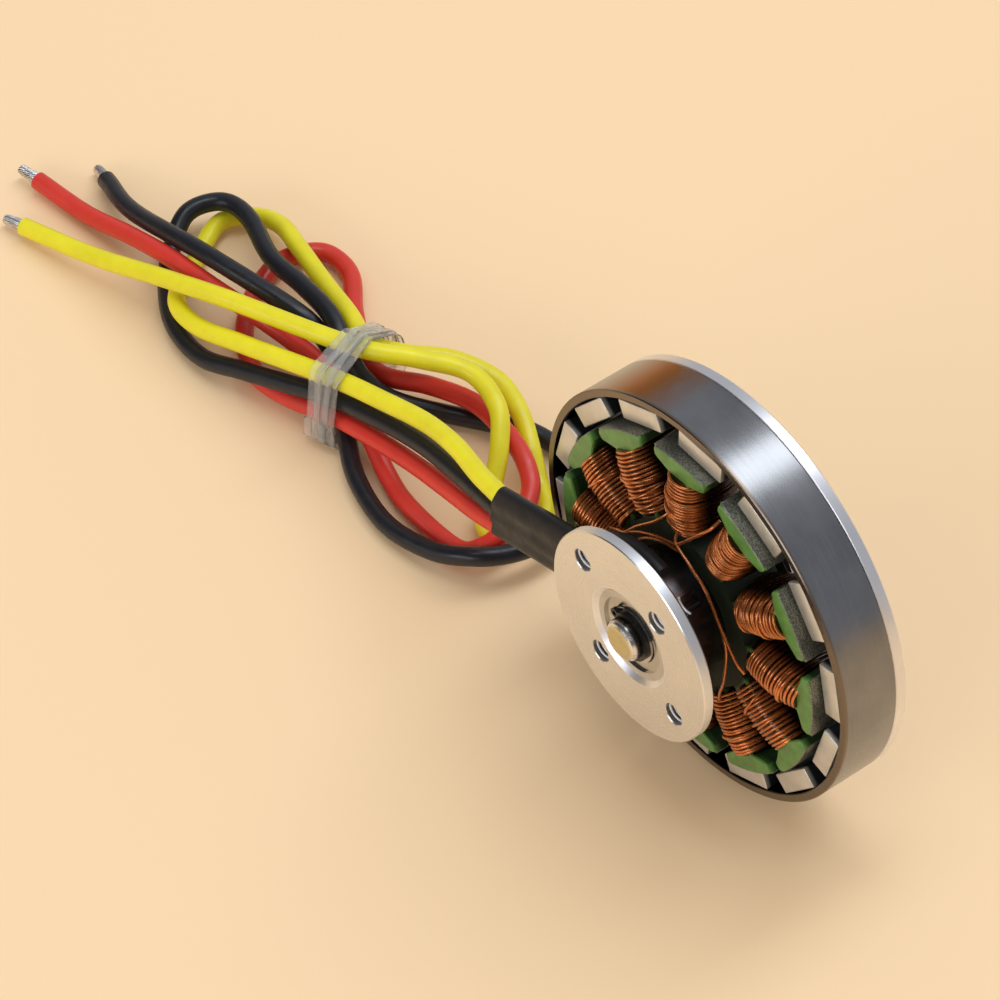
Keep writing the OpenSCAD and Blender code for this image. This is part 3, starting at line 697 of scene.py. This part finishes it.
class MOTOR_OT_windings(bpy.types.Operator):
    """Winds enamelled wire round every tooth and lays the link wires round the hub"""

    bl_idname = "motor.windings"
    bl_label = "Windings"

    inner = 0.0107
    outer = 0.0187
    width_in = 0.00514
    width_out = 0.00526
    bulge = 0.0003
    end_drop = 0.0005
    core_depth = 0.00034
    core_sides = 40
    roundness = 2.0 / 2.3
    link_wire = 0.00037

    def execute(self, context):
        looks = settings()
        copper = tuple(looks.copper)
        bright = enamelled_copper("copper_wire", copper, tuple(0.62 * c for c in copper))
        # Painted shade: the core under the turns is copper darkened to a tenth, so the gaps between turns
        # look shaded
        deep = enamelled_copper("copper_painted_shade_core", tuple(0.10 * c for c in copper),
                                tuple(0.05 * c for c in copper))
        low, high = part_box("winding_a")
        self.front, self.back = low[1], high[1]
        for phase, teeth in TEETH_OF_PHASE.items():
            lines = []
            bm = bmesh.new()
            for tooth in teeth:
                lines += self.coil_lines(tooth)
                self.add_core(bm, tooth)
            data = curve_from("turns_" + phase, lines, looks.coil_wire, sides=2)
            turns = add_piece("turns_" + phase, data, bright.material, STATOR)
            core = add_piece("coil_core_" + phase, mesh_from("coil_core_" + phase, bm, 60), deep.material,
                             STATOR)
            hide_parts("winding_" + phase)
            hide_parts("winding_" + phase)
        self.add_links(bright.material)
        return {"FINISHED"}

    def half_sizes(self, radius):
        """Half width and half depth of the coil at a distance from the shaft."""
        share = (radius - self.inner) / (self.outer - self.inner)
        full = 1.0 - (2.0 * share - 1.0) ** 2
        half_width = (self.width_in + share * (self.width_out - self.width_in) + self.bulge * full) / 2
        half_depth = (self.back - self.front) / 2 - self.end_drop * (1.0 - full)
        return half_width, half_depth

    def add_core(self, bm, tooth):
        """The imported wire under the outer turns, as one body round the tooth."""
        angle = settings().tooth_angle + TOOTH_STEP * tooth
        middle = (self.front + self.back) / 2
        rings = []
        for i in range(9):
            radius = self.inner + 0.0001 + (self.outer - self.inner - 0.0002) * i / 8
            points = [self.on_coil(radius, k / self.core_sides, angle, middle, -self.core_depth)
                      for k in range(self.core_sides)]
            rings.append([bm.verts.new(point) for point in points])
        skin(bm, rings)
        bm.faces.new(rings[0])
        bm.faces.new(rings[-1])

    def coil_lines(self, tooth):
        """The turns of one coil as one long line, and a few turns that stray across it."""
        looks = settings()
        chance = unit_noise(100 + tooth)
        angle = looks.tooth_angle + TOOTH_STEP * tooth
        middle = (self.front + self.back) / 2
        turns = looks.coil_turns + chance.choice((-1, 0, 0))
        inset = 0.5 * looks.coil_wire
        shifts = [chance.uniform(-0.07, 0.07) * MM for _ in range(turns + 2)]
        grows = [chance.uniform(-0.12, 0.03) * MM for _ in range(turns + 2)]
        tilts = [chance.uniform(-0.16, 0.16) * MM for _ in range(turns + 2)]
        slant = chance.choice((-1, 1)) * chance.uniform(0.05, 0.30) * MM
        steps = 32
        line = []
        for k in range(turns * steps + 1):
            whole, part = divmod(k, steps)
            part /= steps
            ease = part * part * (3.0 - 2.0 * part)
            shift = shifts[whole] * (1 - ease) + shifts[whole + 1] * ease
            grow = grows[whole] * (1 - ease) + grows[whole + 1] * ease
            tilt = tilts[whole] * (1 - ease) + tilts[whole + 1] * ease
            radius = self.inner + looks.coil_wire / 2 + shift
            radius += (self.outer - self.inner - looks.coil_wire) * (k / steps) / turns
            line.append(self.on_coil(radius, part, angle, middle, grow - inset, slant + tilt))
        lines = [line]
        for _ in range(chance.choice((2, 3, 4))):
            begin = chance.uniform(0.05, 0.75)
            run = chance.choice((-1, 1)) * chance.uniform(0.05, 0.28)
            stray = []
            for k in range(17):
                share = k / 16
                radius = self.inner + (self.outer - self.inner) * min(0.97, max(0.03, begin + run * share))
                lift = 0.55 * looks.coil_wire * math.sin(math.pi * share) - inset
                stray.append(self.on_coil(radius, 0.48 + 0.54 * share, angle, middle, lift))
            lines.append(stray)
        return lines

    def on_coil(self, radius, part, angle, middle, lift, slant=0.0):
        """A point round the coil; part 0.5 to 1 runs across the front."""
        half_width, half_depth = self.half_sizes(radius)
        turn = math.tau * part
        across = math.copysign(abs(math.cos(turn)) ** self.roundness, math.cos(turn)) * (half_width + lift)
        depth = math.copysign(abs(math.sin(turn)) ** self.roundness, math.sin(turn)) * (half_depth + lift)
        return spun(radius + slant * math.cos(turn), middle + depth, angle, across)

    def add_links(self, material):
        """Link wires that wander round the front of the hub, as (degrees, radius, along) in millimetres."""
        routes = (
            [(94, 12.2, 7.4), (91, 11.3, 6.3), (86, 10.9, 6.0), (72, 10.7, 5.7), (57, 10.6, 5.6),
             (30, 10.0, 5.6), (10, 10.8, 5.9), (2, 11.6, 6.4)],
            [(30, 10.0, 5.6), (13, 9.7, 5.6), (-17, 9.6, 5.7), (-38, 10.2, 6.3), (-48, 11.2, 6.8)],
            [(168, 11.8, 6.8), (158, 10.6, 6.4), (149, 9.8, 6.2), (128, 10.2, 6.0), (106, 12.0, 6.2),
             (100, 13.4, 7.4)],
            [(149, 9.8, 6.2), (131, 9.5, 6.1), (108, 9.9, 6.0), (89, 10.9, 6.1)],
            [(89, 10.9, 6.1), (83, 12.8, 6.3), (77.5, 15.6, 6.6), (75.5, 17.0, 7.2), (75.5, 17.8, 8.2)],
            [(-60, 9.9, 7.0), (-90, 9.2, 7.2), (-120, 9.6, 7.1), (-150, 10.6, 7.2)],
            [(200, 10.2, 7.0), (225, 9.4, 7.1), (250, 9.6, 7.1), (272, 10.8, 7.2)],
            [(-55, 8.3, 7.3), (-80, 8.0, 7.3), (-110, 8.1, 7.3)],
            [(180, 8.1, 7.3), (150, 8.3, 7.3), (120, 8.0, 7.3), (95, 8.3, 7.2)],
        )
        lines = []
        for route in routes:
            points = [spun(radius * MM, along * MM, angle) for angle, radius, along in route]
            lines.append(smooth_line(points, 14))
        data = curve_from("link_wire", lines, self.link_wire, sides=2)
        links = add_piece("link_wire", data, material, STATOR)
        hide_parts("link_wires")


# ----------------------------------------------------------------- stator

class MOTOR_OT_stator(bpy.types.Operator):
    """Coats the stator with green epoxy and leaves its ground rim bare"""

    bl_idname = "motor.stator"
    bl_label = "Stator"

    def execute(self, context):
        epoxy = tuple(settings().epoxy)
        coat = Finish("epoxy_coat", epoxy, 0.30)
        shade = coat.mix(coat.fade(coat.noise(700.0, 4.0), 0.3, 0.7), tuple(0.62 * c for c in epoxy), epoxy)
        grain = coat.fade(coat.noise(6000.0, 2.0), 0.36, 0.66)
        speck = coat.mix(grain, (0.12, 0.125, 0.10), (0.36, 0.37, 0.32))
        ground = coat.fade(coat.radius(), 0.02078, 0.02086)
        # Painted shade: the coat goes almost black near the hub, between the roots of the coils
        root = coat.fade(coat.radius(), 0.0112, 0.0104)
        # Painted shade: the coat goes almost black beyond the front of the teeth, on the sides that lie in
        # shade
        painted_shade_behind = coat.fade(coat.along(), 0.00795, 0.0087)
        shaded = coat.mix(painted_shade_behind, shade, (0.012, 0.03, 0.010))
        deep = coat.mix(root, shaded, (0.012, 0.022, 0.010))
        coat.colour(coat.mix(ground, deep, speck))
        coat.link(coat.fade(ground, 0.0, 1.0, 0.0, 0.75), coat.shader.inputs["Metallic"])
        rough = coat.most(coat.fade(ground, 0.0, 1.0, 0.30, 0.42), coat.fade(root, 0.0, 1.0, 0.0, 0.62))
        coat.link(rough, coat.shader.inputs["Roughness"])
        coat.bump(coat.noise(900.0, 3.0), 0.35, 0.00012)
        for name in ("stator_core", "rear_insulation", "front_insulation"):
            dress(name, coat)
        self.add_coat(coat.material)
        return {"FINISHED"}

    def add_coat(self, material):
        """Front coat of the teeth with rounded edges."""
        low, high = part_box("front_insulation")
        front, back = low[1], high[1]
        tip = 0.02092
        hub, seat, stem = 0.0102, 0.0066, 0.00155
        neck, shoulder, half_tip = 0.01855, 0.01965, 11.7
        rims_from, rim_bevel = 0.0125, 0.00022
        bm = bmesh.new()
        for tooth in range(TEETH):
            middle = settings().tooth_angle + TOOTH_STEP * tooth
            outline = [spun(seat, front, middle + t) for t in (15, 10, 5, 0, -5, -10, -15)]
            outline += [spun(hub, front, middle + t) for t in (-15, -12)]
            root = math.sqrt(hub ** 2 - stem ** 2)
            outline += [spun(root, front, middle, -stem), spun(neck, front, middle, -stem)]
            corner = [(shoulder - 0.0001, 0.5), (shoulder + 0.0001, 0.12), (shoulder + 0.0003, 0.0),
                      (tip - 0.00055, 0.0), (tip - 0.00028, 0.25), (tip - 0.0001, 0.8), (tip - 0.00002, 1.5)]
            outline += [spun(r, front, middle - half_tip + t) for r, t in corner]
            outline += [spun(tip, front, middle - 9 + 18 * k / 10) for k in range(11)]
            outline += [spun(r, front, middle + half_tip - t) for r, t in reversed(corner)]
            outline += [spun(neck, front, middle, stem), spun(root, front, middle, stem)]
            outline += [spun(hub, front, middle + t) for t in (12, 15)]
            bm.faces.new([bm.verts.new(p) for p in outline])
        bmesh.ops.remove_doubles(bm, verts=bm.verts, dist=1e-6)
        made = bmesh.ops.extrude_face_region(bm, geom=list(bm.faces))
        moved = [v for v in made["geom"] if isinstance(v, bmesh.types.BMVert)]
        bmesh.ops.translate(bm, verts=moved, vec=(0, back - front, 0))
        bmesh.ops.recalc_face_normals(bm, faces=bm.faces)
        rims = []
        for edge in bm.edges:
            ends = [v.co for v in edge.verts]
            if all(abs(p.y - front) < 1e-7 for p in ends) and edge.calc_face_angle(0.0) > 1.0:
                if min(math.hypot(p.x, p.z) for p in ends) > rims_from:
                    rims.append(edge)
        bmesh.ops.bevel(bm, geom=rims, offset=rim_bevel, offset_type="OFFSET", segments=3, profile=0.5,
                        affect="EDGES", material=-1, clamp_overlap=True)
        coat = add_piece("tooth_coat", mesh_from("tooth_coat", bm, 40), material, STATOR)
        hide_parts("front_insulation")


# ------------------------------------------------------------------ metal

class MOTOR_OT_base(bpy.types.Operator):
    """Finishes the mounting base and lays thread ridges in its holes"""

    bl_idname = "motor.base"
    bl_label = "Mounting Base"

    wide_circle = 9.5
    narrow_circle = 8.0
    thread_pitch = 0.0005
    thread_radius = 0.0013
    thread_start = 0.00035
    thread_steps = 24
    thread_wire = 0.00028
    side_radius = 0.00126
    side_start = 0.0021

    def execute(self, context):
        finish = turned_metal("machined_base", (0.82, 0.82, 0.83), (0.77, 0.77, 0.79), 0.25, 0.012)
        along, radius = finish.along(), finish.radius()
        barrel = finish.fade(along, 0.00175, 0.0021)
        edge = finish.fade(radius, 0.01268, 0.01274)
        seat = finish.times(finish.fade(radius, 0.00612, 0.00606), finish.fade(along, 0.00060, 0.00054))
        holes = finish.times(finish.between(along, 0.00003, 0.00010, 0.0016, 0.0019),
                             finish.between(radius, 0.0061, 0.0063, 0.0119, 0.0121))
        # Painted highlight: a pale patch on the upper right of the barrel, where the lamp above would glint
        lit = finish.times(finish.between(finish.turn(), 1.00, 1.12, 1.32, 1.50), barrel,
                           finish.fade(along, 0.0052, 0.0040))
        # Painted highlight: the outer edge and the bearing seat are coloured near white
        bright = finish.most(edge, seat)
        plain = finish.shader.inputs["Base Color"].links[0].from_socket
        painted_edge_highlight = finish.mix(bright, plain, (0.96, 0.96, 1.0))
        # Painted shade: the walls of the holes and of the bore are coloured dark grey
        painted_shade_holes = finish.mix(holes, painted_edge_highlight, (0.15, 0.145, 0.15))
        # Painted reflection: the barrel is coloured near black, for the dark surroundings it reflects
        painted_dark_barrel = finish.mix(barrel, painted_shade_holes, (0.10, 0.10, 0.11))
        finish.colour(finish.mix(lit, painted_dark_barrel, (0.75, 0.74, 0.80)))
        finish.link(finish.fade(holes, 0.0, 1.0, 1.0, 0.25), finish.shader.inputs["Metallic"])
        fine = finish.shader.inputs["Roughness"].links[0].from_socket
        rough = finish.most(fine, finish.fade(bright, 0.0, 1.0, 0.0, 0.42))
        finish.link(rough, finish.shader.inputs["Roughness"])
        dress("mounting_base", finish)
        self.add_threads()
        return {"FINISHED"}

    def add_threads(self):
        """Thread ridges in the four tapped holes, and those left in the barrel."""
        lines = []
        for angle, circle in ((146, self.wide_circle), (326, self.wide_circle),
                              (236, self.narrow_circle), (56, self.narrow_circle)):
            centre = spun(circle * MM, 0.0, angle)
            lines.append([centre + spun(self.thread_radius,
                                        self.thread_start + self.thread_pitch * k / self.thread_steps,
                                        360 * k / self.thread_steps) for k in range(2 * self.thread_steps)])
        # The last of these holes breaks through the side of the barrel
        for row in range(5):
            start = self.side_start + self.thread_pitch * row
            lines.append([centre + spun(self.side_radius, start + 0.00002 * k, 181 + 10 * k)
                          for k in range(12)])
        # Painted highlight: the ridges are near white and hardly metallic, so they show bright like glints in
        # the shade of the bell
        steel = Finish("thread_painted_highlight", (0.93, 0.93, 0.97), 0.3, 0.1)
        steel.roughness(steel.noise(2000.0), 0.3, 0.7, 0.22, 0.4)
        data = curve_from("hole_threads", lines, self.thread_wire, sides=1)
        add_piece("hole_threads", data, steel.material, STATOR)


class MOTOR_OT_bearings(bpy.types.Operator):
    """Finishes the ball bearings, the shaft and the pieces stacked on it"""

    bl_idname = "motor.bearings"
    bl_label = "Bearings and Shaft"

    def execute(self, context):
        ring = turned_metal("bearing_steel", (0.66, 0.66, 0.68), (0.52, 0.52, 0.54), 0.14, 0.08)
        ball = Finish("ball_steel", (0.80, 0.80, 0.82), 0.06, 1.0)
        ball.roughness(ball.noise(2000.0), 0.3, 0.7, 0.04, 0.09)
        cage = Finish("cage_brass", (0.62, 0.47, 0.20), 0.3, 1.0)
        cage.roughness(cage.noise(1500.0), 0.3, 0.7, 0.24, 0.38)
        shield = turned_metal("shield_steel", (0.60, 0.585, 0.56), (0.48, 0.47, 0.45), 0.20, 0.12)
        spacer = turned_metal("spacer_alloy", (0.60, 0.61, 0.63), (0.48, 0.49, 0.5), 0.28, 0.12)
        brass = turned_metal("shim_brass", (0.68, 0.52, 0.22), (0.55, 0.42, 0.18), 0.3, 0.12)
        chrome = Finish("shaft_chrome", (0.80, 0.80, 0.81), 0.07, 1.0)
        # Painted reflection: the front face of the shaft is coloured beige, as the floor in front would show
        # in it
        cloud = chrome.mix(chrome.fade(chrome.noise(800.0), 0.3, 0.7), (0.66, 0.57, 0.31), (0.60, 0.53, 0.30))
        face = chrome.fade(chrome.along(), -0.00112, -0.00127)
        # Painted shade: the side of the shaft next to the bearing is coloured near black
        side = chrome.between(chrome.along(), -0.00080, -0.00055, 0.0005, 0.0008)
        bare = chrome.mix(face, (0.80, 0.80, 0.81), cloud)
        chrome.colour(chrome.mix(side, bare, (0.055, 0.05, 0.045)))
        chrome.roughness(chrome.noise(1200.0), 0.35, 0.7, 0.24, 0.32)
        chrome.bump(chrome.noise(900.0), 0.06, 0.00005)
        black = Finish("blackened_spring_steel", (0.045, 0.045, 0.047), 0.36, 0.9)
        worn = black.fade(black.noise(1600.0), 0.3, 0.7)
        black.colour(black.mix(worn, (0.03, 0.03, 0.03), (0.07, 0.07, 0.07)))
        for end in ("front", "rear"):
            for name, finish in (("outer_ring", ring), ("inner_ring", ring), ("balls", ball),
                                 ("cage", cage), ("shields", shield)):
                dress(end + "_" + name, finish)
        for name, finish in (("spacer_sleeve", spacer), ("shim_washer", brass), ("shaft", chrome),
                             ("snap_ring", black)):
            dress(name, finish)
        return {"FINISHED"}


class MOTOR_OT_bell(bpy.types.Operator):
    """Finishes the bell: its steel ring, its end cap, its magnets and its grub screws"""

    bl_idname = "motor.bell"
    bl_label = "Bell"

    def execute(self, context):
        self.dress_ring()
        cap = turned_metal("cap_alloy", (0.88, 0.87, 0.90), (0.82, 0.81, 0.84), 0.34, 0.05)
        screw = Finish("black_oxide", (0.02, 0.02, 0.022), 0.35, 0.9)
        screw.roughness(screw.noise(1500.0), 0.3, 0.7, 0.28, 0.45)
        dress("end_cap", cap)
        dress("grub_screws", screw)
        self.add_magnets()
        return {"FINISHED"}

    def dress_ring(self):
        """Dark plated steel, brushed round the outside, with a painted reflection brown on its rim and orange
        on its upper left, and painted shade inside.
        """
        finish = Finish("dark_nickel", (0.25, 0.25, 0.255), 0.18, 1.0)
        streak = finish.noise(1.0, 4.0, finish.wrapped(3.0, 2600.0))
        cloud = finish.noise(90.0, 5.0)
        dark = finish.mix(finish.fade(cloud, 0.35, 0.68), (0.21, 0.21, 0.22), (0.30, 0.30, 0.31))
        streaked = finish.mix(finish.fade(streak, 0.45, 0.85), dark, (0.275, 0.275, 0.285))
        # Painted reflection: an orange band on the upper left of the ring, for the backdrop it reflects
        painted_orange_reflection = finish.times(finish.between(finish.turn(), 1.78, 2.02, 2.10, 2.35),
                            finish.fade(finish.noise(130.0, 2.0), 0.22, 0.48))
        ring_with_painted_reflection = finish.mix(painted_orange_reflection, streaked, (0.34, 0.11, 0.004))
        # Painted reflection: the front rim is coloured brown, as the floor shows in it
        rim = finish.fade(finish.along(), 0.00935, 0.00920)
        ring_with_painted_rim = finish.mix(rim, ring_with_painted_reflection, (0.21, 0.17, 0.135))
        # Painted shade: the inner wall of the ring, between the magnets, is coloured near black
        painted_shade_inside = finish.fade(finish.radius(), 0.02412, 0.02404)
        finish.colour(finish.mix(painted_shade_inside, ring_with_painted_rim, (0.012, 0.014, 0.015)))
        finish.roughness(cloud, 0.3, 0.7, 0.22, 0.30)
        dress("flux_ring", finish)

    def add_magnets(self):
        """Plated block magnets with softened edges and painted shade on their sides."""
        looks = settings()
        first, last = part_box("magnet_01")
        finish = Finish("magnet_plate", (0.72, 0.69, 0.63), 0.34, 0.75)
        mottle = finish.fade(finish.noise(350.0, 4.0), 0.3, 0.7)
        face = finish.mix(mottle, (0.58, 0.56, 0.52), (0.74, 0.72, 0.68))
        # Painted shade: the magnets go near black beyond their front faces, on the sides that face the gaps
        side = finish.fade(finish.along(), first[1] + 0.0003, first[1] + 0.0007)
        finish.colour(finish.mix(side, face, (0.035, 0.04, 0.045)))
        finish.roughness(finish.noise(1500.0), 0.3, 0.7, 0.28, 0.42)
        finish.bump(finish.noise(1800.0), 0.15, 0.00003)
        ring_inner = 0.0240
        clearance = 0.00002
        edge_bevel = 0.00016
        outer = math.sqrt(ring_inner ** 2 - (looks.magnet_width / 2) ** 2) - clearance
        for i in range(MAGNETS):
            name = "magnet_%02d" % (i + 1)
            bm = bmesh.new()
            bmesh.ops.create_cube(bm, size=1.0)
            bmesh.ops.scale(bm, verts=bm.verts,
                            vec=(looks.magnet_thickness, last[1] - first[1], looks.magnet_width))
            bmesh.ops.bevel(bm, geom=list(bm.edges), offset=edge_bevel, offset_type="OFFSET", segments=3,
                            profile=0.5, affect="EDGES", material=-1)
            middle = ((outer - looks.magnet_thickness / 2), (first[1] + last[1]) / 2, 0.0)
            bmesh.ops.translate(bm, verts=bm.verts, vec=middle)
            turn = Matrix.Rotation(-math.radians(looks.magnet_angle + i * 360.0 / MAGNETS), 3, "Y")
            bmesh.ops.rotate(bm, verts=bm.verts, cent=(0, 0, 0), matrix=turn)
            block = add_piece("block_%02d" % (i + 1), mesh_from(name + "_block", bm, 30), finish.material,
                              ROTOR)
            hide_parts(name)


# ------------------------------------------------------------------ panel

class MOTOR_PT_panel(bpy.types.Panel):
    """Panel with one button per group of pieces"""

    bl_idname = "MOTOR_PT_panel"
    bl_label = "Motor"
    bl_space_type = "VIEW_3D"
    bl_region_type = "UI"
    bl_category = "Motor"

    def draw(self, context):
        for prop in MotorLooks.__annotations__:
            self.layout.prop(context.scene.motor_looks, prop)
        for operator in STEPS:
            self.layout.operator(operator.bl_idname)


STEPS = (MOTOR_OT_stage, MOTOR_OT_leads, MOTOR_OT_sleeves, MOTOR_OT_windings, MOTOR_OT_stator,
         MOTOR_OT_base, MOTOR_OT_bearings, MOTOR_OT_bell)
CLASSES = (MotorLooks,) + STEPS + (MOTOR_PT_panel,)


def register():
    for each in CLASSES:
        bpy.utils.register_class(each)
    bpy.types.Scene.motor_looks = bpy.props.PointerProperty(type=MotorLooks)


def unregister():
    del bpy.types.Scene.motor_looks
    for each in reversed(CLASSES):
        bpy.utils.unregister_class(each)


def main():
    register()
    bpy.ops.motor.stage()
    bpy.ops.motor.leads()
    bpy.ops.motor.sleeves()
    bpy.ops.motor.windings()
    bpy.ops.motor.stator()
    bpy.ops.motor.base()
    bpy.ops.motor.bearings()
    bpy.ops.motor.bell()


if __name__ == "__main__":
    main()
